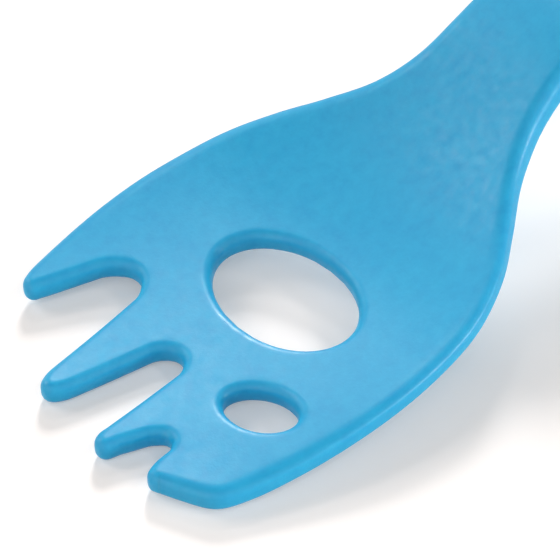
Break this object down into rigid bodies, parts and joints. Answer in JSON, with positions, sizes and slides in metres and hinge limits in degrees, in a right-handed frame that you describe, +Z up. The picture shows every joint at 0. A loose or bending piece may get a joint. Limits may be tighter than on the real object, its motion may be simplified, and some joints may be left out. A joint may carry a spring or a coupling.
{
  "type": "spork",
  "caption": "Wide-headed serving spork with a shallow dished head, short uneven tines, oval drain holes and a long arched handle with a hanging hole.",
  "frame": {"origin": "on the table, under the middle of the tool's length and width", "axes": "+X from the tines to the end of the handle, +Y to the side of the longest slot, +Z up out of the dished face"},
  "size_m": [0.285, 0.077, 0.0449],
  "materials": {
    "blue_silicone": "satin",
    "nylon": "matte",
    "steel": "brushed"
  },
  "bodies": {
    "root": {"silicone_skin": "blue_silicone", "head_core": "nylon", "steel_spine": "steel"}
  },
  "joints": []
}
